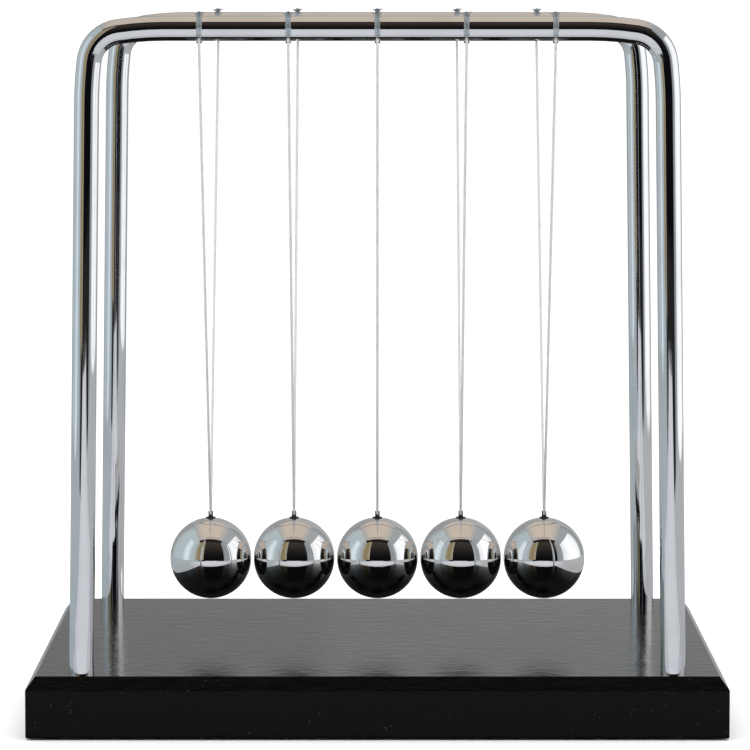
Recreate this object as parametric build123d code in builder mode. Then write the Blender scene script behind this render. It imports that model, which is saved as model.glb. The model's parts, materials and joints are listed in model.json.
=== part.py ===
"""A five-ball newton's cradle: two bent tube frames on a lacquered base, with five balls on V lines.

X runs along the row of balls, Y from the front frame to the rear one, and Z up.
The origin is the middle of the footprint, on the surface that the cradle stands on. Sizes are in mm.
"""

import os
from math import cos, radians, sin

from build123d import *

# Base
base_width = 180.0
base_depth = 150.0
base_thickness = 15.7
edge_inset = 2.4  # how far the sloping edge comes in
edge_drop = 3.3  # how far it comes down
edge_radius = 0.4

# Foot pads, sunk part of the way into the underside
pad_diameter = 12.0
pad_thickness = 1.5
pad_recess = 1.0
pad_clearance = 0.2
pad_from_side = 30.0
pad_from_front = 20.0

# Tube frames
tube_diameter = 6.4
tube_wall = 0.8
foot_span = 151.8  # between the axes of a frame's two feet
frame_spacing = 135.0  # between the two frames
rail_height = 165.2  # from the base's top to the axis of a rail's straight middle
lean_start = 4.0  # above the base's top, where a leg turns from upright to its slight lean
lean_radius = 500.0
knee_span = 147.6  # between the legs where they lean in more, under the corners
knee_drop = 14.4  # below the rail's axis
knee_radius = 100.0
corner_span = 145.0  # between a frame's two corners
corner_drop = 1.85  # below the rail's axis
corner_radius = 8.5
droop_span = 120.0  # between the places where a rail turns down to its corners
droop_radius = 80.0
socket_depth = 9.0
socket_clearance = 0.1

# What holds the tubes down: a tapped plug, a screw and a washer at each foot
plug_length = 10.0
plug_clearance = 0.05
plug_chamfer = 0.4
screw_diameter = 2.9
screw_length = 12.0
tapped_clearance = 0.05
screw_hole_clearance = 0.25
head_diameter = 5.5
head_height = 2.0
head_edge = 0.4
drive_across = 2.0
drive_depth = 1.1
washer_diameter = 7.0
washer_thickness = 0.5
washer_clearance = 0.15
counterbore_clearance = 0.5
head_recess = 1.1  # from the underside to the screw's head

# Balls
ball_count = 5
ball_diameter = 22.0
ball_gap = 0.6
ball_height = 21.2  # from the base's top to the balls' centres

# Eyelets
shank_diameter = 1.2
shank_length = 4.0
shank_clearance = 0.05
flange_diameter = 2.6
flange_thickness = 0.3
flange_clearance = 0.1
spot_depth = 0.12
eye_height = 1.2  # from the flange's seat to the cross hole's axis
eye_clearance = 0.05
eye_wall = 0.25
eye_roof = 0.3

# Lines, and the ties that hold them to the rails
line_diameter = 0.7
line_bend = 0.7  # radius of the bend at each mouth of the eyelet's cross hole
tie_clearance = 0.05  # between the tube and the line wound on it
strand_clearance = 0.02
pivot_clearance = 0.2  # between the tube and the line's free end
pivot_angle = -45.0  # seen along the rail, from straight outwards
strand_end_angle = -32.0
tie_end_angle = 285.0
knot_angle = 95.0
knot_arc = 20.0
knot_margin = 0.13  # how far it stands past the strands on each side
knot_crown = 0.4  # how much thicker it is than one strand
knot_corner = 0.25
knot_clearance = 0.02
tail_length = 0.7
tail_radius = 0.22
tail_root = 0.3  # how deep in the knot a tail starts
tail_rise = radians(20.0)

# Places worked out from the sizes above
base_bottom = pad_thickness - pad_recess
base_top = base_bottom + base_thickness
socket_floor = base_top - socket_depth
rail_z = base_top + rail_height
foot_x = foot_span / 2
frame_y = frame_spacing / 2
tube_radius = tube_diameter / 2
bore_radius = tube_radius - tube_wall
line_radius = line_diameter / 2
ball_radius = ball_diameter / 2
ball_pitch = ball_diameter + ball_gap
ball_z = base_top + ball_height
flange_seat = ball_z + ball_radius - spot_depth
eye_z = flange_seat + eye_height
eye_radius = line_radius + eye_clearance
neck_radius = eye_radius + eye_wall
neck_top = eye_z + eye_radius + eye_roof
shank_bottom = flange_seat - shank_length
counterbore_diameter = washer_diameter + 2 * counterbore_clearance
counterbore_depth = head_recess + head_height + washer_thickness
counterbore_roof = base_bottom + counterbore_depth
washer_bottom = counterbore_roof - washer_thickness
wound_radius = tube_radius + tie_clearance + line_radius
strand_offset = line_radius + strand_clearance
knot_width = 2 * (strand_offset + line_radius + knot_margin)
knot_thickness = line_diameter + knot_crown
knot_reach = tube_radius + knot_clearance + knot_thickness / 2
pivot_reach = tube_radius + pivot_clearance + line_radius
pivot_y = frame_y + pivot_reach * cos(radians(pivot_angle))
pivot_z = rail_z + pivot_reach * sin(radians(pivot_angle))
ball_places = [(i - (ball_count - 1) / 2) * ball_pitch for i in range(ball_count)]
feet = {
    "front_left": (-foot_x, -frame_y),
    "front_right": (foot_x, -frame_y),
    "rear_left": (-foot_x, frame_y),
    "rear_right": (foot_x, frame_y),
}
pad_x = base_width / 2 - pad_from_side
pad_y = base_depth / 2 - pad_from_front


def save(piece, name):
    """Labels a finished piece and writes it to its own file."""
    piece.label = name
    export_step(piece, f"parts/{name}.step")


def make_base():
    """The block: upright sides, a sloping edge above them, sockets on top and fixings beneath."""
    with BuildPart() as block:
        with BuildSketch(Plane.XY.offset(base_bottom)):
            Rectangle(base_width, base_depth)
        extrude(amount=base_thickness - edge_drop)
        with BuildSketch(Plane.XY.offset(base_top - edge_drop)):
            Rectangle(base_width, base_depth)
        with BuildSketch(Plane.XY.offset(base_top)):
            Rectangle(base_width - 2 * edge_inset, base_depth - 2 * edge_inset)
        loft()
        fillet(block.edges(), edge_radius)
        # a socket for each foot of the tubes
        with BuildSketch(Plane.XY.offset(socket_floor)):
            with Locations(*feet.values()):
                Circle(tube_radius + socket_clearance)
        extrude(amount=socket_depth, mode=Mode.SUBTRACT)
        # the screws' holes, with room for head and washer beneath
        with BuildSketch(Plane.XY.offset(base_bottom)):
            with Locations(*feet.values()):
                Circle(screw_diameter / 2 + screw_hole_clearance)
        extrude(amount=base_thickness, mode=Mode.SUBTRACT)
        with BuildSketch(Plane.XY.offset(base_bottom)):
            with Locations(*feet.values()):
                Circle(counterbore_diameter / 2)
        extrude(amount=counterbore_depth, mode=Mode.SUBTRACT)
        # shallow recesses that locate the foot pads
        with BuildSketch(Plane.XY.offset(base_bottom)):
            with GridLocations(2 * pad_x, 2 * pad_y, 2, 2):
                Circle(pad_diameter / 2 + pad_clearance)
        extrude(amount=pad_recess, mode=Mode.SUBTRACT)
    save(block.part, "base_block")


def make_pads():
    """Four round pads, which lift the block clear of the surface."""
    for row, y in (("front", -pad_y), ("rear", pad_y)):
        for side, x in (("left", -pad_x), ("right", pad_x)):
            with BuildPart() as pad:
                with BuildSketch():
                    with Locations((x, y)):
                        Circle(pad_diameter / 2)
                extrude(amount=pad_thickness)
            save(pad.part, f"{row}_{side}_foot_pad")


def make_frame(name, y):
    """One tube: legs that lean in a little, tight corners, and a rail that droops at its ends."""
    left = [
        (-foot_x, socket_floor),
        (-foot_x, base_top + lean_start),
        (-knee_span / 2, rail_z - knee_drop),
        (-corner_span / 2, rail_z - corner_drop),
        (-droop_span / 2, rail_z),
    ]
    right = [(-x, z) for x, z in reversed(left)]
    bends = [lean_radius, knee_radius, corner_radius, droop_radius]
    with BuildPart() as frame:
        with BuildLine(Plane.XZ.offset(-y)) as path:
            FilletPolyline(*left, *right, radius=[*bends, *reversed(bends)])
        with BuildSketch(Plane.XY.offset(socket_floor)):
            with Locations((-foot_x, y)):
                Circle(tube_radius)
                Circle(bore_radius, mode=Mode.SUBTRACT)
        sweep(path=path.wire())
    save(frame.part, name)


def make_fixings(corner, x, y):
    """The tapped plug in the tube's end, and the screw and washer that pull it down."""
    with BuildPart() as plug:
        with BuildSketch(Plane.XY.offset(socket_floor)):
            with Locations((x, y)):
                Circle(bore_radius - plug_clearance)
        extrude(amount=plug_length)
        chamfer(plug.edges().filter_by(GeomType.CIRCLE), length=plug_chamfer)
        with BuildSketch(Plane.XY.offset(socket_floor)):
            with Locations((x, y)):
                Circle(screw_diameter / 2 + tapped_clearance)
        extrude(amount=plug_length, mode=Mode.SUBTRACT)
    save(plug.part, f"{corner}_tube_plug")

    with BuildPart() as washer:
        with BuildSketch(Plane.XY.offset(washer_bottom)):
            with Locations((x, y)):
                Circle(washer_diameter / 2)
                Circle(screw_diameter / 2 + washer_clearance, mode=Mode.SUBTRACT)
        extrude(amount=washer_thickness)
    save(washer.part, f"{corner}_washer")

    with BuildPart() as screw:
        with BuildSketch(Plane.XY.offset(washer_bottom - head_height)):
            with Locations((x, y)):
                Circle(head_diameter / 2)
        extrude(amount=head_height)
        fillet(screw.edges().filter_by(GeomType.CIRCLE).sort_by(Axis.Z)[0], head_edge)
        with BuildSketch(Plane.XY.offset(washer_bottom)):
            with Locations((x, y)):
                Circle(screw_diameter / 2)
        extrude(amount=screw_length)
        # hexagonal drive recess
        with BuildSketch(Plane.XY.offset(washer_bottom - head_height)):
            with Locations((x, y)):
                RegularPolygon(drive_across / 2, 6, major_radius=False)
        extrude(amount=drive_depth, mode=Mode.SUBTRACT)
    save(screw.part, f"{corner}_screw")


def make_ball(number, x):
    """A ball with a flat spot and a blind hole on top for its eyelet."""
    with BuildPart() as ball:
        with Locations((x, 0, ball_z)):
            Sphere(ball_radius)
        with BuildSketch(Plane.XY.offset(flange_seat)):
            with Locations((x, 0)):
                Circle(flange_diameter / 2 + flange_clearance)
        extrude(amount=spot_depth, mode=Mode.SUBTRACT)
        with BuildSketch(Plane.XY.offset(shank_bottom - shank_clearance)):
            with Locations((x, 0)):
                Circle(shank_diameter / 2 + shank_clearance)
        extrude(amount=shank_length + shank_clearance, mode=Mode.SUBTRACT)
    save(ball.part, f"ball_{number}")


def make_eyelet(number, x):
    """A stud: shank in the ball, flange on its flat spot, and a neck with a hole from front to rear."""
    with BuildPart() as eyelet:
        with BuildSketch(Plane.XY.offset(shank_bottom)):
            with Locations((x, 0)):
                Circle(shank_diameter / 2)
        extrude(amount=shank_length)
        with BuildSketch(Plane.XY.offset(flange_seat)):
            with Locations((x, 0)):
                Circle(flange_diameter / 2)
        extrude(amount=flange_thickness)
        with BuildSketch(Plane.XY.offset(flange_seat)):
            with Locations((x, 0)):
                Circle(neck_radius)
        extrude(amount=neck_top - flange_seat)
        with BuildSketch(Plane.XZ):
            with Locations((x, eye_z)):
                Circle(eye_radius)
        extrude(amount=2 * neck_radius, both=True, mode=Mode.SUBTRACT)
    save(eyelet.part, f"eyelet_{number}")


def make_line(number, x):
    """One tight line from the front rail, through the eyelet, to the rear rail."""
    mouth_y = neck_radius + line_radius
    with BuildPart() as line:
        with BuildLine(Plane.YZ.offset(x)) as route:
            FilletPolyline(
                (-pivot_y, pivot_z),
                (-mouth_y, eye_z),
                (mouth_y, eye_z),
                (pivot_y, pivot_z),
                radius=line_bend,
            )
        path = route.wire()
        with BuildSketch(Plane(origin=path @ 0, z_dir=path % 0)):
            Circle(line_radius)
        sweep(path=path)
    save(line.part, f"line_{number}")
    return path.length


def rail_arc(x, side, reach, first, last):
    """An arc round a rail from one angle to another, counted as make_tie says."""
    start = first if side > 0 else 180 - first
    with BuildLine(Plane.YZ.offset(x)) as arc:
        CenterArc((side * frame_y, rail_z), reach, start, side * (last - first))
    return arc.wire()


def make_tie(name, x, side):
    """The line's end on a rail: two strands over the outer face, one turn round the tube, and a knot.

    Side is -1 at the front rail and 1 at the rear one. Angles are seen along the rail: 0 is straight
    outwards, 90 the top, 180 straight inwards and 270 the bottom.
    """
    knot_start = knot_angle - knot_arc / 2
    knot_end = knot_angle + knot_arc / 2
    runs = (
        (-strand_offset, strand_end_angle, knot_start),  # up from the ball to the knot
        (strand_offset, strand_end_angle, knot_start),  # beside it
        (strand_offset, knot_end, tie_end_angle),  # and on round the tube
    )
    with BuildPart() as tie:
        for offset, first, last in runs:
            strand = rail_arc(x + offset, side, wound_radius, first, last)
            with BuildSketch(Plane(strand @ 0, x_dir=(1, 0, 0), z_dir=strand % 0)):
                Circle(line_radius)
            sweep(path=strand)
        # the knot, across both strands
        knot = rail_arc(x, side, knot_reach, knot_start, knot_end)
        with BuildSketch(Plane(knot @ 0, x_dir=(1, 0, 0), z_dir=knot % 0)):
            RectangleRounded(knot_width, knot_thickness, knot_corner)
        sweep(path=knot)
        # two short cut tails, one out of each side of the knot
        for way in (-1, 1):
            root = knot @ 0.5 + Vector(way * (knot_width / 2 - tail_root), 0, 0)
            with BuildSketch(Plane(root, z_dir=(way * cos(tail_rise), 0, sin(tail_rise)))):
                Circle(tail_radius)
            extrude(amount=tail_length)
    save(tie.part, name)


os.makedirs("parts", exist_ok=True)
make_base()
make_pads()
make_frame("front_frame", -frame_y)
make_frame("rear_frame", frame_y)
for corner, (x, y) in feet.items():
    make_fixings(corner, x, y)
for number, x in enumerate(ball_places, start=1):
    make_ball(number, x)
    make_eyelet(number, x)
    length = make_line(number, x)
    print(f"line {number}: {length:.2f} mm long, bends of {line_bend} mm radius")
    make_tie(f"front_tie_{number}", x, -1)
    make_tie(f"rear_tie_{number}", x, 1)
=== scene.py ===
"""Newton's cradle: five polished balls on V lines between two tube frames on a black base."""

import json
import logging
import math
from dataclasses import dataclass
from enum import Enum

import bpy
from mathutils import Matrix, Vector


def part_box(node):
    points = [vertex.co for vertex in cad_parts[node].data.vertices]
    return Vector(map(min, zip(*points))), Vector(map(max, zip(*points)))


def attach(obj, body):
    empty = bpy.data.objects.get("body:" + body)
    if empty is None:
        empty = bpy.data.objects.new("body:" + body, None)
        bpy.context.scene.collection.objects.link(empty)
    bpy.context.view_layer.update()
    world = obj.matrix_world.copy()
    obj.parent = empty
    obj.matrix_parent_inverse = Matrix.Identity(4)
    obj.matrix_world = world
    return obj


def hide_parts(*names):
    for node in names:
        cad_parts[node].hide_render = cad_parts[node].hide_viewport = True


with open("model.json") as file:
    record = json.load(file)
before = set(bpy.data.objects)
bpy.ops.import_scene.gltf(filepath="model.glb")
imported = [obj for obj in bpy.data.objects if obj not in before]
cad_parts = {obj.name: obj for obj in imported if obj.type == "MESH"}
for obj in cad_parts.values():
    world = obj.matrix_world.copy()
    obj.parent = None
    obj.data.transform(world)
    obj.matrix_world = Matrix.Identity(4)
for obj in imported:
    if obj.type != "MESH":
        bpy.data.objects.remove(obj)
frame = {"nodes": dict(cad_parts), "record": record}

Colour = tuple[float, float, float]
Point = tuple[float, float, float]
MM = 0.001

logging.basicConfig(level=logging.INFO, format="%(message)s")
log = logging.getLogger("cradle")


class Side(Enum):
    """The two frames, by the sign of the side of the ball row that each stands on."""

    FRONT = -1
    REAR = 1

    @property
    def word(self) -> str:
        """Gives the name that the frame's parts start with."""
        return self.name.lower()


# --- shader helpers


class Bench:
    """Adds nodes to one node tree and joins them.

    Args:
        tree: The material, world or group tree to work on.
    """

    def __init__(self, tree: bpy.types.NodeTree) -> None:
        """Keeps the tree, emptied."""
        self.tree = tree
        tree.nodes.clear()
        self.step = 0

    def add(self, kind: str, **settings: object) -> bpy.types.Node:
        """Adds a node.

        Args:
            kind: The node's type, such as ShaderNodeTexNoise.
            settings: Properties of the node to set.

        Returns:
            The new node.
        """
        node = self.tree.nodes.new(kind)
        node.location = (220 * (self.step % 8), -260 * (self.step // 8))
        self.step += 1
        for name, value in settings.items():
            setattr(node, name, value)
        return node

    def fill(self, socket: bpy.types.NodeSocket, value: object) -> None:
        """Joins another socket to this one, or sets this one's value."""
        if isinstance(value, bpy.types.NodeSocket):
            self.tree.links.new(value, socket)
        else:
            socket.default_value = value

    def math(
        self, operation: str, first: object, second: object = 0.0, clamp: bool = False
    ) -> bpy.types.NodeSocket:
        """Works out one sum.

        Args:
            operation: The Math node's operation.
            first: A number or a socket.
            second: A number or a socket.
            clamp: Whether the result is kept from 0 to 1.

        Returns:
            The result's socket.
        """
        node = self.add("ShaderNodeMath", operation=operation, use_clamp=clamp)
        self.fill(node.inputs[0], first)
        self.fill(node.inputs[1], second)
        return node.outputs[0]

    def spread(
        self, value: object, low: float, high: float, to_low: float = 0.0, to_high: float = 1.0
    ) -> bpy.types.NodeSocket:
        """Maps low..high of a value to to_low..to_high, smoothly, and clamps it.

        Args:
            value: The socket to map.
            low: The value that gives to_low.
            high: The value that gives to_high.
            to_low: The result at low.
            to_high: The result at high.

        Returns:
            The result's socket.
        """
        node = self.add("ShaderNodeMapRange", interpolation_type="SMOOTHSTEP")
        for slot, number in zip(node.inputs, (value, low, high, to_low, to_high)):
            self.fill(slot, number)
        return node.outputs["Result"]

    def stretch(
        self, vector: object, scale: Point, turn: Point = (0.0, 0.0, 0.0)
    ) -> bpy.types.NodeSocket:
        """Scales and turns a coordinate.

        Args:
            vector: The coordinate's socket.
            scale: The scale along each axis.
            turn: The turn about each axis, in degrees.

        Returns:
            The mapped coordinate's socket.
        """
        node = self.add("ShaderNodeMapping")
        self.fill(node.inputs["Vector"], vector)
        node.inputs["Rotation"].default_value = [math.radians(a) for a in turn]
        node.inputs["Scale"].default_value = scale
        return node.outputs[0]

    def noise(
        self, vector: object, scale: float, detail: float = 3.0, roughness: float = 0.55
    ) -> bpy.types.NodeSocket:
        """Gives a noise value from 0 to 1.

        Args:
            vector: The coordinate's socket.
            scale: Cells per unit of the coordinate.
            detail: Number of finer layers.
            roughness: Weight of the finer layers.

        Returns:
            The value's socket.
        """
        node = self.add("ShaderNodeTexNoise")
        self.fill(node.inputs["Vector"], vector)
        node.inputs["Scale"].default_value = scale
        node.inputs["Detail"].default_value = detail
        node.inputs["Roughness"].default_value = roughness
        return node.outputs[0]

    def tint(self, share: object, first: object, second: object) -> bpy.types.NodeSocket:
        """Mixes two colours.

        Args:
            share: How much of the second there is, as a number or a socket.
            first: A colour or a colour socket.
            second: A colour or a colour socket.

        Returns:
            The mixed colour's socket.
        """
        node = self.add("ShaderNodeMix", data_type="RGBA")
        self.fill(node.inputs[0], share)
        for slot, value in ((node.inputs[6], first), (node.inputs[7], second)):
            self.fill(slot, (*value, 1.0) if isinstance(value, tuple) else value)
        return node.outputs[2]

    def bump(self, height: object, depth: float, strength: float = 1.0) -> bpy.types.NodeSocket:
        """Turns a height into a normal.

        Args:
            height: The height's socket, from 0 to 1.
            depth: The depth in metres of a height of 1.
            strength: The bump's strength.

        Returns:
            The normal's socket.
        """
        node = self.add("ShaderNodeBump")
        node.inputs["Strength"].default_value = strength
        node.inputs["Distance"].default_value = depth
        self.fill(node.inputs["Height"], height)
        return node.outputs[0]


class Effects:
    """The surface effects that several finishes share, each a node group that is built once."""

    def __init__(self) -> None:
        """Builds the groups."""
        self.handling = self._handling()
        self.specks = self._specks()
        self.grain = self._grain()
        self.rubbed = self._rubbed()

    @staticmethod
    def _open(
        name: str, numbers: dict[str, float], results: tuple[str, ...]
    ) -> tuple[Bench, bpy.types.Node, bpy.types.Node]:
        """Starts a group with a Vector input, number inputs and value outputs.

        Args:
            name: The group's name.
            numbers: Each number input with its default.
            results: The names of the value outputs.

        Returns:
            The group's bench, its input node and its output node.
        """
        tree = bpy.data.node_groups.new(name, "ShaderNodeTree")
        tree.interface.new_socket("Vector", in_out="INPUT", socket_type="NodeSocketVector")
        for label, value in numbers.items():
            tree.interface.new_socket(
                label, in_out="INPUT", socket_type="NodeSocketFloat"
            ).default_value = value
        for label in results:
            tree.interface.new_socket(label, in_out="OUTPUT", socket_type="NodeSocketFloat")
        bench = Bench(tree)
        return bench, bench.add("NodeGroupInput"), bench.add("NodeGroupOutput")

    def _handling(self) -> bpy.types.NodeTree:
        """Builds broad smudges and fine hair scratches, as handled metal and lacquer get."""
        bench, given, made = self._open(
            "handling_marks", {"Smudge Size": 120.0, "Scratch Density": 1.0}, ("Smudge", "Scratch")
        )
        vector = given.outputs["Vector"]
        broad = bench.add("ShaderNodeTexNoise")
        bench.fill(broad.inputs["Vector"], vector)
        bench.fill(broad.inputs["Scale"], given.outputs["Smudge Size"])
        broad.inputs["Detail"].default_value = 4.0
        broad.inputs["Distortion"].default_value = 0.6
        bench.fill(made.inputs["Smudge"], bench.spread(broad.outputs[0], 0.42, 0.72))
        total = None
        for turn, scale in (
            ((10, 25, 35), (60, 2600, 2600)),
            ((-30, 5, -50), (2200, 50, 2200)),
            ((5, 60, 80), (2400, 2400, 45)),
        ):
            hair = bench.noise(bench.stretch(vector, scale, turn), 1.0, 2.0)
            line = bench.spread(hair, 0.70, 0.76)
            total = line if total is None else bench.math("MAXIMUM", total, line)
        patches = bench.spread(bench.noise(vector, 90.0, 2.0), 0.45, 0.65)
        hairs = bench.math("MULTIPLY", total, patches)
        bench.fill(
            made.inputs["Scratch"],
            bench.math("MULTIPLY", hairs, given.outputs["Scratch Density"], clamp=True),
        )
        return bench.tree

    def _specks(self) -> bpy.types.NodeTree:
        """Builds small scattered dots of dust."""
        bench, given, made = self._open("dust_specks", {"Cells": 420.0, "Size": 0.12}, ("Dust",))
        cells = bench.add("ShaderNodeTexVoronoi")
        bench.fill(cells.inputs["Vector"], given.outputs["Vector"])
        bench.fill(cells.inputs["Scale"], given.outputs["Cells"])
        near = bench.math("LESS_THAN", cells.outputs["Distance"], given.outputs["Size"])
        kept = bench.math("GREATER_THAN", bench.noise(given.outputs["Vector"], 210.0, 1.0), 0.56)
        bench.fill(made.inputs["Dust"], bench.math("MULTIPLY", near, kept))
        return bench.tree

    def _grain(self) -> bpy.types.NodeTree:
        """Builds long fine lines along X, as open grain leaves under thin lacquer."""
        bench, given, made = self._open("long_grain", {"Lines": 1.0}, ("Grain", "Pores"))
        lines = bench.add("ShaderNodeVectorMath", operation="SCALE")
        bench.fill(lines.inputs[0], given.outputs["Vector"])
        bench.fill(lines.inputs["Scale"], given.outputs["Lines"])
        streak = bench.noise(bench.stretch(lines.outputs[0], (30, 1100, 1100)), 1.0, 4.0, 0.65)
        pore = bench.noise(bench.stretch(lines.outputs[0], (90, 4200, 4200)), 1.0, 2.0)
        bench.fill(made.inputs["Grain"], streak)
        bench.fill(made.inputs["Pores"], bench.spread(pore, 0.60, 0.74))
        return bench.tree

    def _rubbed(self) -> bpy.types.NodeTree:
        """Builds a mask of worn edges, broken up along their length."""
        bench, given, made = self._open("rubbed_edges", {"Reach": 0.0006}, ("Edge",))
        soft = bench.add("ShaderNodeBevel", samples=6)
        bench.fill(soft.inputs["Radius"], given.outputs["Reach"])
        shape = bench.add("ShaderNodeNewGeometry")
        dot = bench.add("ShaderNodeVectorMath", operation="DOT_PRODUCT")
        bench.fill(dot.inputs[0], soft.outputs[0])
        bench.fill(dot.inputs[1], shape.outputs["Normal"])
        turned = bench.spread(dot.outputs["Value"], 0.995, 0.90)
        broken = bench.spread(bench.noise(given.outputs["Vector"], 260.0, 4.0), 0.40, 0.68)
        bench.fill(made.inputs["Edge"], bench.math("MULTIPLY", turned, broken))
        return bench.tree


def place_group(
    bench: Bench, group: bpy.types.NodeTree, vector: bpy.types.NodeSocket, **numbers: float
) -> bpy.types.Node:
    """Puts a shared effect into a material.

    Args:
        bench: The material's bench.
        group: The effect's node group.
        vector: The coordinate that it works on.
        numbers: Its inputs, with an underscore for each space in a name.

    Returns:
        The group node.
    """
    node = bench.add("ShaderNodeGroup")
    node.node_tree = group
    bench.fill(node.inputs["Vector"], vector)
    for name, value in numbers.items():
        node.inputs[name.replace("_", " ")].default_value = value
    return node


# --- finishes


@dataclass(frozen=True)
class Finish:
    """One surface finish: the base of the finishes below."""

    name: str

    def start(
        self, metallic: float, ior: float = 1.5
    ) -> tuple[bpy.types.Material, Bench, bpy.types.Node, bpy.types.NodeSocket]:
        """Starts the material.

        Args:
            metallic: The shader's metallic value.
            ior: The shader's index of refraction.

        Returns:
            The material, its bench, its shader and the object coordinate.
        """
        material = bpy.data.materials.new(self.name)
        material.use_nodes = True
        bench = Bench(material.node_tree)
        place = bench.add("ShaderNodeTexCoord")
        shader = bench.add("ShaderNodeBsdfPrincipled")
        shader.inputs["Metallic"].default_value = metallic
        shader.inputs["IOR"].default_value = ior
        out = bench.add("ShaderNodeOutputMaterial")
        bench.fill(out.inputs["Surface"], shader.outputs[0])
        return material, bench, shader, place.outputs["Object"]

    def make(self, effects: Effects) -> bpy.types.Material:
        """Builds the material. Each finish has its own."""
        raise NotImplementedError


@dataclass(frozen=True)
class BlackLacquer(Finish):
    """Thin satin black lacquer on wood: fine long grain, rubbed edges, dust and a few scratches."""

    name: str = "black_lacquer"
    black: Colour = (0.0022, 0.0021, 0.0023)
    brown: Colour = (0.0120, 0.0075, 0.0045)
    rubbed: Colour = (0.060, 0.042, 0.030)
    dust: Colour = (0.16, 0.16, 0.17)

    def make(self, effects: Effects) -> bpy.types.Material:
        """Builds the material from the shared effects."""
        material, bench, shader, place = self.start(0.0, 1.17)
        shader.inputs["Coat Weight"].default_value = 0.35
        shader.inputs["Coat IOR"].default_value = 1.15
        shader.inputs["Coat Roughness"].default_value = 0.07
        grain = place_group(bench, effects.grain, place, Lines=1.0)
        marks = place_group(bench, effects.handling, place, Smudge_Size=34.0, Scratch_Density=0.35)
        edge = place_group(bench, effects.rubbed, place, Reach=0.0004)
        dust = place_group(bench, effects.specks, place, Cells=520.0, Size=0.10)
        worn = bench.math("MULTIPLY", edge.outputs["Edge"], 0.16)
        open_pores = bench.math("MULTIPLY", grain.outputs["Pores"], 0.45)
        wood = bench.tint(open_pores, self.black, self.brown)
        colour = bench.tint(worn, wood, self.rubbed)
        colour = bench.tint(bench.math("MULTIPLY", dust.outputs["Dust"], 0.14), colour, self.dust)
        colour = bench.tint(
            bench.math("MULTIPLY", marks.outputs["Scratch"], 0.03), colour, self.dust
        )
        bench.fill(shader.inputs["Base Color"], colour)
        gloss = bench.math("ADD", bench.spread(grain.outputs["Grain"], 0.3, 0.7, 0.0, 0.05), 0.09)
        gloss = bench.math("ADD", gloss, bench.math("MULTIPLY", marks.outputs["Smudge"], 0.02))
        gloss = bench.math("ADD", gloss, bench.math("MULTIPLY", worn, 0.25))
        bench.fill(shader.inputs["Roughness"], gloss)
        relief = bench.math(
            "SUBTRACT", grain.outputs["Grain"], bench.math("MULTIPLY", grain.outputs["Pores"], 0.25)
        )
        pitted = bench.math("MULTIPLY", bench.noise(place, 240.0, 4.0), 4.5)
        ripple = bench.bump(bench.math("ADD", relief, pitted), 0.000045, 0.8)
        bench.fill(shader.inputs["Normal"], ripple)
        return material


@dataclass(frozen=True)
class Plate(Finish):
    """Bright plated or polished metal, with handling marks."""

    colour: Colour = (0.80, 0.81, 0.83)
    hazed: Colour = (0.70, 0.71, 0.73)
    gloss: float = 0.035
    haze: float = 0.05
    smudge_size: float = 90.0
    ripple: float = 0.0000015

    def make(self, effects: Effects) -> bpy.types.Material:
        """Builds the material from the shared effects."""
        material, bench, shader, place = self.start(1.0)
        marks = place_group(
            bench, effects.handling, place, Smudge_Size=self.smudge_size, Scratch_Density=1.0
        )
        dust = place_group(bench, effects.specks, place, Cells=900.0, Size=0.07)
        dull = bench.math("MAXIMUM", marks.outputs["Smudge"], dust.outputs["Dust"])
        bench.fill(
            shader.inputs["Base Color"],
            bench.tint(bench.math("MULTIPLY", dull, 0.5), self.colour, self.hazed),
        )
        rough = bench.math(
            "ADD", bench.math("MULTIPLY", marks.outputs["Smudge"], self.haze), self.gloss
        )
        rough = bench.math("ADD", rough, bench.math("MULTIPLY", marks.outputs["Scratch"], 0.16))
        bench.fill(shader.inputs["Roughness"], rough)
        wave = bench.math(
            "SUBTRACT",
            bench.noise(place, 240.0, 2.0),
            bench.math("MULTIPLY", marks.outputs["Scratch"], 0.3),
        )
        bench.fill(shader.inputs["Normal"], bench.bump(wave, self.ripple, 0.6))
        return material


@dataclass(frozen=True)
class DarkSteel(Finish):
    """Blackened steel, rubbed bright on its edges."""

    name: str = "dark_steel"
    dark: Colour = (0.012, 0.012, 0.014)
    bright: Colour = (0.10, 0.10, 0.11)

    def make(self, effects: Effects) -> bpy.types.Material:
        """Builds the material from the shared effects."""
        material, bench, shader, place = self.start(0.15)
        edge = place_group(bench, effects.rubbed, place, Reach=0.00012)
        marks = place_group(bench, effects.handling, place, Smudge_Size=900.0, Scratch_Density=1.0)
        worn = bench.math(
            "MAXIMUM",
            bench.math("MULTIPLY", edge.outputs["Edge"], 0.7),
            bench.math("MULTIPLY", marks.outputs["Scratch"], 0.4),
        )
        bench.fill(shader.inputs["Base Color"], bench.tint(worn, self.dark, self.bright))
        bench.fill(
            shader.inputs["Roughness"],
            bench.math("ADD", bench.math("MULTIPLY", marks.outputs["Smudge"], 0.2), 0.38),
        )
        bench.fill(
            shader.inputs["Normal"], bench.bump(bench.noise(place, 3000.0, 3.0), 0.000012, 0.5)
        )
        return material


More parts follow.
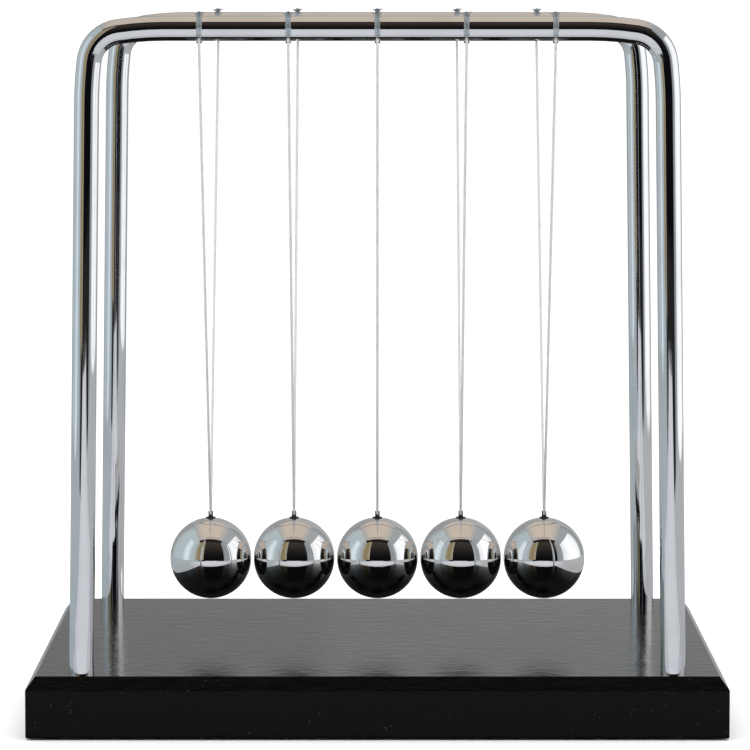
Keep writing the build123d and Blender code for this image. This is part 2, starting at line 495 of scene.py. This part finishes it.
@dataclass(frozen=True)
class TurnedMetal(Finish):
    """Machined metal with fine tool lines round its upright axis."""

    colour: Colour = (0.62, 0.63, 0.66)
    stain: Colour = (0.34, 0.34, 0.36)
    gloss: float = 0.24

    def make(self, effects: Effects) -> bpy.types.Material:
        """Builds the material from the shared effects."""
        material, bench, shader, place = self.start(1.0)
        marks = place_group(bench, effects.handling, place, Smudge_Size=420.0, Scratch_Density=0.8)
        edge = place_group(bench, effects.rubbed, place, Reach=0.00015)
        lines = bench.noise(bench.stretch(place, (90, 90, 9000)), 1.0, 3.0)
        colour = bench.tint(
            bench.math("MULTIPLY", marks.outputs["Smudge"], 0.6), self.colour, self.stain
        )
        bright = tuple(min(1.0, 1.25 * c) for c in self.colour)
        bench.fill(shader.inputs["Base Color"], bench.tint(edge.outputs["Edge"], colour, bright))
        bench.fill(
            shader.inputs["Roughness"], bench.spread(lines, 0.3, 0.7, self.gloss, self.gloss + 0.16)
        )
        bench.fill(shader.inputs["Normal"], bench.bump(lines, 0.000008, 0.6))
        return material


@dataclass(frozen=True)
class NylonLine(Finish):
    """Clear drawn nylon, slightly hazed, with faint lengthwise variation."""

    clear: Colour = (0.72, 0.72, 0.74)
    cloudy: Colour = (0.60, 0.60, 0.63)
    through: float = 0.35
    gloss: float = 0.30

    def make(self, effects: Effects) -> bpy.types.Material:
        """Builds the material from the shared effects."""
        material, bench, shader, place = self.start(0.0, 1.53)
        marks = place_group(bench, effects.handling, place, Smudge_Size=650.0, Scratch_Density=1.0)
        runs = bench.noise(bench.stretch(place, (900, 900, 60)), 1.0, 2.0)
        cloud = bench.math("MULTIPLY", bench.spread(runs, 0.35, 0.7), 0.6)
        cloud = bench.math(
            "ADD", cloud, bench.math("MULTIPLY", marks.outputs["Scratch"], 0.3), clamp=True
        )
        bench.fill(shader.inputs["Base Color"], bench.tint(cloud, self.clear, self.cloudy))
        bench.fill(
            shader.inputs["Roughness"], bench.spread(runs, 0.3, 0.7, self.gloss, self.gloss + 0.12)
        )
        shader.inputs["Transmission Weight"].default_value = self.through
        bench.fill(shader.inputs["Normal"], bench.bump(runs, 0.000005, 0.3))
        return material


@dataclass(frozen=True)
class FootFoam(Finish):
    """Dense black foam rubber with open cells and lint on it."""

    name: str = "foot_foam"
    black: Colour = (0.022, 0.022, 0.024)
    lint: Colour = (0.12, 0.12, 0.12)

    def make(self, effects: Effects) -> bpy.types.Material:
        """Builds the material from the shared effects."""
        material, bench, shader, place = self.start(0.0, 1.45)
        dust = place_group(bench, effects.specks, place, Cells=1500.0, Size=0.16)
        cells = bench.add("ShaderNodeTexVoronoi")
        bench.fill(cells.inputs["Vector"], place)
        cells.inputs["Scale"].default_value = 2600.0
        bench.fill(
            shader.inputs["Base Color"], bench.tint(dust.outputs["Dust"], self.black, self.lint)
        )
        bench.fill(
            shader.inputs["Roughness"], bench.spread(cells.outputs["Distance"], 0.1, 0.6, 0.95, 0.7)
        )
        bench.fill(shader.inputs["Normal"], bench.bump(cells.outputs["Distance"], 0.00012, 0.8))
        return material


HUNG_LINE = NylonLine("nylon_line")
WOUND_LINE = NylonLine(
    "wound_nylon", clear=(0.62, 0.68, 0.72), cloudy=(0.42, 0.46, 0.50), through=0.8, gloss=0.10
)
PULLED_KNOT = NylonLine(
    "pulled_knot", clear=(0.20, 0.20, 0.19), cloudy=(0.10, 0.10, 0.10), through=0.2, gloss=0.25
)
CHROME_TUBE = Plate("chrome_tube", haze=0.04, smudge_size=70.0)
CHROME_BALL = Plate(
    "chrome_ball",
    colour=(0.84, 0.84, 0.84),
    hazed=(0.74, 0.74, 0.75),
    gloss=0.022,
    haze=0.03,
    smudge_size=150.0,
)
SCREW_STEEL = TurnedMetal("screw_steel")
PLUG_BRASS = TurnedMetal(
    "plug_brass", colour=(0.72, 0.52, 0.24), stain=(0.40, 0.26, 0.10), gloss=0.28
)


# --- the object


def deselect() -> None:
    """Leaves nothing selected and no object active."""
    bpy.ops.object.select_all(action="DESELECT")
    bpy.context.view_layer.objects.active = None


def strand(data: bpy.types.Curve, points: list[Point], swell: float = 1.0, finish: int = 0) -> None:
    """Adds one smooth open strand to a curve.

    Args:
        data: The curve.
        points: The strand's control points, in metres.
        swell: The strand's thickness, as a share of the curve's.
        finish: Which of the curve's materials it takes.
    """
    spline = data.splines.new("NURBS")
    spline.points.add(len(points) - 1)
    spline.material_index = finish
    for point, place in zip(spline.points, points):
        point.co = (*place, 1.0)
        point.radius = swell
    spline.order_u = 3
    spline.use_endpoint_u = True


def new_curve(name: str, radius: float, smooth: int) -> bpy.types.Object:
    """Makes an empty round-section curve object.

    Args:
        name: The object's name.
        radius: The section's radius in metres.
        smooth: Steps between two control points.

    Returns:
        The curve's object, in the scene.
    """
    data = bpy.data.curves.new(name, "CURVE")
    data.dimensions = "3D"
    data.bevel_depth = radius
    data.bevel_resolution = 4
    data.resolution_u = smooth
    data.use_fill_caps = True
    piece = bpy.data.objects.new(name, data)
    bpy.context.scene.collection.objects.link(piece)
    return piece


@dataclass
class Lines:
    """The five lines, each one run from the front rail through its eyelet to the rear rail."""

    finish: bpy.types.Material
    diameter: float = 0.7 * MM
    length: float = 295.04 * MM
    pivot_out: float = 70.152 * MM  # from the ball row to the line's free end
    pivot_up: float = 178.748 * MM
    straight_out: float = 2.98 * MM  # about six diameters up the line from the eyelet
    straight_up: float = 53.18 * MM
    bend_out: float = 1.45 * MM
    bend_up: float = 50.32 * MM
    mouth_out: float = 1.0 * MM
    inner_out: float = 0.3 * MM
    eye_up: float = 49.48 * MM

    def route(self, x: float) -> list[Point]:
        """Gives a line's control points, from the front rail to the rear one.

        Args:
            x: The ball's place along the row.

        Returns:
            The points in metres.
        """
        half = [
            (self.pivot_out, self.pivot_up),
            (self.straight_out, self.straight_up),
            (self.bend_out, self.bend_up),
            (self.mouth_out, self.eye_up),
            (self.inner_out, self.eye_up),
        ]
        front = [(x, -out, up) for out, up in half]
        rear = [(x, out, up) for out, up in reversed(half)]
        return front + rear

    def build(self, number: int, x: float) -> bpy.types.Object:
        """Args:
            number: The ball's number, from 1 at the left.
            x: The ball's place along the row.

        Returns:
            The line's object.
        """
        piece = new_curve(f"hung_line_{number}", self.diameter / 2, 10)
        strand(piece.data, self.route(x))
        piece.data.materials.append(self.finish)
        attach(piece, f"pendulum_{number}")
        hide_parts(f"line_{number}")
        return piece


@dataclass
class Ties:
    """The windings and knots that hold the lines' ends to the rails."""

    finish: bpy.types.Material
    knot_finish: bpy.types.Material
    rail_radius: float = 3.2 * MM
    reach: float = 3.6 * MM  # from the rail's axis to a strand's
    strand_radius: float = 0.35 * MM
    pair_gap: float = 0.37 * MM  # from the middle of the pair to a strand
    first_angle: float = -33.0
    last_angle: float = 284.0
    knot_angle: float = 104.0
    knot_turns: int = 3
    knot_radius: float = 0.58 * MM
    knot_length: float = 1.05 * MM
    cord_share: float = 0.62  # the knot's and tails' thickness, as a share of a strand's
    knot_squash: float = 0.72  # the knot's height, as a share of its width
    knot_bed: float = 0.12 * MM  # how far its turns may sink below the strands' axes
    points_per_turn: int = 8
    strand_steps: int = 22
    wander: float = 0.05 * MM  # how far a strand strays along the rail
    tail_root_along: float = 0.3 * MM  # places on a tail, along the rail from the tie's middle
    tail_bend_along: float = 0.8 * MM
    tail_end: float = 1.15 * MM
    tail_root_lift: float = 0.35 * MM  # and away from it, beyond the strands' axes
    tail_bend_lift: float = 0.42 * MM
    tail_tip_lift: float = 0.40 * MM

    def around(self, side: Side, x: float, angle: float, reach: float, offset: float) -> Point:
        """Gives a point round the rail.

        Args:
            side: The frame that the rail belongs to.
            x: The tie's place along the row.
            angle: Degrees up from straight outwards.
            reach: Distance from the rail's axis.
            offset: Distance along the rail from the tie's middle.

        Returns:
            The point in metres.
        """
        low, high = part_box(f"{side.word}_frame")
        rail_out = side.value * abs(low.y + high.y) / 2
        turn = math.radians(angle)
        return (
            x + offset,
            rail_out + side.value * reach * math.cos(turn),
            high.z - self.rail_radius + reach * math.sin(turn),
        )

    def build(self, side: Side, number: int, x: float) -> bpy.types.Object:
        """Makes one tie: two strands round the rail, a wound knot across them and two cut tails.

        Args:
            side: The frame that the tie is on.
            number: The ball's number, from 1 at the left.
            x: The ball's place along the row.

        Returns:
            The tie's object.
        """
        piece = new_curve(f"{side.word}_knot_{number}", self.strand_radius, 5)
        span = self.last_angle - self.first_angle
        for way in (-1, 1):
            points = []
            for step in range(self.strand_steps + 1):
                angle = self.first_angle + span * step / self.strand_steps
                drift = self.wander * math.sin(math.radians(2.0 * angle + 70.0 * number))
                points.append(self.around(side, x, angle, self.reach, way * self.pair_gap + drift))
            strand(piece.data, points)
        self.wind(piece.data, side, x, number)
        for way in (-1, 1):
            tip_lift = self.tail_tip_lift + 0.06 * MM * ((number + way) % 3)
            places = (
                (0.0, self.tail_root_lift, self.tail_root_along),
                (2.0, self.tail_bend_lift, self.tail_bend_along),
                (5.0, tip_lift, self.tail_end),
            )
            tail = [
                self.around(side, x, self.knot_angle - turn * way, self.reach + lift, way * along)
                for turn, lift, along in places
            ]
            strand(piece.data, tail, self.cord_share, 1)
        piece.data.materials.append(self.finish)
        piece.data.materials.append(self.knot_finish)
        deselect()
        piece.select_set(True)
        bpy.context.view_layer.objects.active = piece
        bpy.ops.object.convert(target="MESH")
        bpy.ops.object.shade_smooth()
        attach(piece, "stand")
        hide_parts(f"{side.word}_tie_{number}")
        return piece

    def wind(self, data: bpy.types.Curve, side: Side, x: float, number: int) -> None:
        """Winds the knot's turns round the pair of strands.

        Args:
            data: The tie's curve.
            side: The frame that the tie is on.
            x: The ball's place along the row.
            number: The ball's number, which varies the knot a little.
        """
        count = self.knot_turns * self.points_per_turn
        points = []
        for step in range(count + 1):
            share = step / count
            turn = math.tau * self.knot_turns * share + 0.6 * number
            along = math.degrees((share - 0.5) * self.knot_length / self.reach)
            up = self.knot_radius * self.knot_squash * math.sin(turn)
            reach = self.reach + max(-self.knot_bed, up) + self.knot_bed
            across = self.knot_radius * math.cos(turn)
            points.append(self.around(side, x, self.knot_angle + along, reach, across))
        strand(data, points, self.cord_share, 1)


@dataclass
class Castings:
    """The parts that are shown as the frame gives them, each with its finish."""

    effects: Effects

    def dress(self) -> None:
        """Gives every carried-over part its material."""
        finishes = {
            "base_block": BlackLacquer(),
            "frame": CHROME_TUBE,
            "ball": CHROME_BALL,
            "eyelet": DarkSteel(),
            "tube_plug": PLUG_BRASS,
            "screw": SCREW_STEEL,
            "washer": SCREW_STEEL,
            "foot_pad": FootFoam(),
        }
        made: dict[str, bpy.types.Material] = {}
        for node, part in sorted(frame["nodes"].items()):
            found = [word for word in finishes if word in node]
            if not found:
                continue
            finish = finishes[found[0]]
            if finish.name not in made:
                made[finish.name] = finish.make(self.effects)
            part.data.materials.clear()
            part.data.materials.append(made[finish.name])
            log.info("%s: %s", node, finish.name)


# --- the studio


class Lie(Enum):
    """How a board stands in the studio."""

    FLAT = "flat"
    FACING = "facing"
    SIDEWAYS = "sideways"


@dataclass(frozen=True)
class Card:
    """A plain reflector board that shows only in reflections.

    It is one colour in its middle and another at its two ends or, where it fades downwards, one
    colour at its top and the other at its bottom.
    """

    name: str
    lie: Lie
    middle: Point
    width: float
    height: float
    colour: Colour
    ends: Colour
    fades_down: bool = False

    def build(self) -> None:
        """Makes the board, stands it up or lays it flat, and lights it."""
        upright = math.radians(90.0)
        turns = {
            Lie.FLAT: (0.0, 0.0, 0.0),
            Lie.FACING: (upright, 0.0, 0.0),
            Lie.SIDEWAYS: (upright, 0.0, upright),
        }
        bpy.ops.mesh.primitive_plane_add(size=1.0, location=self.middle, rotation=turns[self.lie])
        board = bpy.context.object
        board.name = self.name
        board.scale = (self.width, self.height, 1.0)
        material = bpy.data.materials.new(self.name)
        material.use_nodes = True
        bench = Bench(material.node_tree)
        apart = bench.add("ShaderNodeSeparateXYZ")
        bench.fill(apart.inputs[0], bench.add("ShaderNodeTexCoord").outputs["Object"])
        share = bench.spread(bench.math("ABSOLUTE", apart.outputs["X"]), 0.15, 0.5)
        if self.fades_down:
            share = bench.spread(apart.outputs["Y"], -0.5, 0.5, 1.0, 0.0)
        glow = bench.add("ShaderNodeEmission")
        bench.fill(glow.inputs["Color"], bench.tint(share, self.colour, self.ends))
        bench.fill(bench.add("ShaderNodeOutputMaterial").inputs["Surface"], glow.outputs[0])
        board.data.materials.append(material)
        board.visible_camera = False
        board.visible_diffuse = False
        board.visible_shadow = False
        board.visible_transmission = False


@dataclass
class Studio:
    """Floor, air, lamps, boards and camera."""

    middle: Point = (0.0, 0.0, 0.09)
    camera_place: Point = (-0.0001, -1.2052, 0.1932)
    camera_pitch: float = 5.027  # degrees below level
    camera_turn: float = 0.026  # degrees to the left
    lens: float = 214.7

    def camera(self) -> None:
        """Places the camera in front, a little above the rails and looking slightly down."""
        data = bpy.data.cameras.new("camera")
        data.lens = self.lens
        data.sensor_width = 36.0
        item = bpy.data.objects.new("camera", data)
        item.location = self.camera_place
        item.rotation_euler = (
            math.radians(90.0 - self.camera_pitch), 0.0, math.radians(self.camera_turn)
        )
        bpy.context.scene.collection.objects.link(item)
        bpy.context.scene.camera = item

    def air(self) -> None:
        """Makes the surroundings: pale to the eye, a dim room in reflections."""
        world = bpy.data.worlds.new("studio_air")
        world.use_nodes = True
        bench = Bench(world.node_tree)
        pale = bench.add("ShaderNodeBackground")
        pale.inputs["Color"].default_value = (1.0, 1.0, 1.0, 1.0)
        pale.inputs["Strength"].default_value = 1.15
        room = bench.add("ShaderNodeBackground")
        room.inputs["Color"].default_value = (0.020, 0.018, 0.018, 1.0)
        mix = bench.add("ShaderNodeMixShader")
        bench.fill(mix.inputs[0], bench.add("ShaderNodeLightPath").outputs["Is Glossy Ray"])
        bench.fill(mix.inputs[1], pale.outputs[0])
        bench.fill(mix.inputs[2], room.outputs[0])
        bench.fill(bench.add("ShaderNodeOutputWorld").inputs["Surface"], mix.outputs[0])
        bpy.context.scene.world = world
        bpy.context.scene.view_settings.view_transform = "Standard"

    def floor(self) -> None:
        """Lays the pale floor, which reflections don't see."""
        bpy.ops.mesh.primitive_plane_add(size=14.0, location=(0.0, 0.0, 0.0))
        ground = bpy.context.object
        ground.name = "floor"
        material = bpy.data.materials.new("floor")
        material.use_nodes = True
        bench = Bench(material.node_tree)
        shader = bench.add("ShaderNodeBsdfPrincipled")
        shader.inputs["Base Color"].default_value = (0.93, 0.93, 0.93, 1.0)
        shader.inputs["Roughness"].default_value = 0.9
        shader.inputs["Specular IOR Level"].default_value = 0.0
        bench.fill(bench.add("ShaderNodeOutputMaterial").inputs["Surface"], shader.outputs[0])
        ground.data.materials.append(material)
        ground.visible_glossy = False

    def lamps(self) -> None:
        """Hangs one large soft lamp overhead and one at each side."""
        for name, place, size, power in (
            ("overhead", (0.0, -0.3, 1.6), 1.8, 8.0),
            ("left", (-1.3, -0.7, 0.7), 1.0, 2.5),
            ("right", (1.3, -0.5, 0.7), 1.0, 3.5),
        ):
            data = bpy.data.lights.new(name, "AREA")
            data.size = size
            data.energy = power
            lamp = bpy.data.objects.new(name, data)
            lamp.location = place
            lamp.rotation_euler = (
                Vector(self.middle) - Vector(place)
            ).to_track_quat("-Z", "Y").to_euler()
            lamp.visible_glossy = False
            bpy.context.scene.collection.objects.link(lamp)

    def boards(self) -> None:
        """Stands the boards that the metal reflects."""
        silver, dim = (0.40, 0.42, 0.43), (0.30, 0.32, 0.33)
        boards = (
            Card(
                "ceiling_board", Lie.FLAT, (0.0, 0.34, 1.48), 2.2, 2.22,
                (0.66, 0.56, 0.47), silver,
            ),
            Card(
                "left_board", Lie.SIDEWAYS, (-0.92, 0.0, 0.62), 2.9, 1.76,
                (0.50, 0.58, 0.60), dim,
            ),
            Card(
                "left_window", Lie.SIDEWAYS, (-0.86, -0.26, 0.42), 0.42, 0.85,
                (0.78, 0.87, 0.93), (0.56, 0.65, 0.68),
            ),
            Card(
                "tan_board", Lie.FACING, (-0.46, -0.66, 0.50), 0.38, 0.90,
                (0.30, 0.24, 0.13), (0.42, 0.38, 0.28),
            ),
            Card("right_board", Lie.SIDEWAYS, (0.92, 0.15, 0.62), 2.6, 1.76, silver, dim),
            Card(
                "right_window", Lie.SIDEWAYS, (0.86, 0.02, 0.30), 1.16, 1.0,
                (1.20, 1.21, 1.22), (0.95, 0.97, 1.0),
            ),
            Card(
                "back_left", Lie.FACING, (-0.93, 1.40, 0.62), 1.80, 1.76,
                (0.35, 0.35, 0.35), (0.40, 0.40, 0.40),
            ),
            Card(
                "back_right", Lie.FACING, (0.87, 1.40, 0.62), 1.80, 1.76,
                (0.47, 0.47, 0.465), (0.44, 0.44, 0.44),
            ),
            Card(
                "table_near", Lie.FLAT, (0.0, -0.123, -0.001), 0.46, 0.076,
                (0.58, 0.59, 0.62), (0.54, 0.55, 0.58),
            ),
            Card(
                "table_far", Lie.FLAT, (0.0, -0.656, -0.001), 0.56, 0.99,
                (0.72, 0.73, 0.76), (0.66, 0.67, 0.70),
            ),
            Card(
                "table_left", Lie.FLAT, (-0.52, -0.05, -0.002), 0.83, 1.1,
                (0.44, 0.49, 0.51), (0.40, 0.44, 0.46),
            ),
            Card(
                "table_right", Lie.FLAT, (0.52, -0.05, -0.002), 0.83, 1.1,
                (0.50, 0.51, 0.52), (0.46, 0.47, 0.48),
            ),
            Card(
                "front_wall", Lie.FACING, (0.0, -2.10, 1.35), 4.4, 2.7,
                (0.050, 0.041, 0.034), (0.004, 0.004, 0.006), True,
            ),
        )
        for board in boards:
            board.build()
            log.info("studio: %s", board.name)


def row_places() -> list[float]:
    """Gives each ball's place along the row, from its joint."""
    joints = sorted(frame["record"]["behaviour"]["joints"], key=lambda joint: joint["name"])
    return [joint["pos_m"][0] for joint in joints]


def main() -> None:
    """Builds the studio, the lines, the ties and the finishes, in that order."""
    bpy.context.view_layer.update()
    deselect()
    studio = Studio()
    studio.camera()
    effects = Effects()
    lines = Lines(HUNG_LINE.make(effects))
    ties = Ties(WOUND_LINE.make(effects), PULLED_KNOT.make(effects))
    places = row_places()
    for number, x in enumerate(places, start=1):
        log.info("built %s", lines.build(number, x).name)
    for side in Side:
        for number, x in enumerate(places, start=1):
            log.info("built %s", ties.build(side, number, x).name)
    Castings(effects).dress()
    studio.air()
    studio.floor()
    studio.lamps()
    studio.boards()
    deselect()
    bpy.context.view_layer.update()


if __name__ == "__main__":
    main()
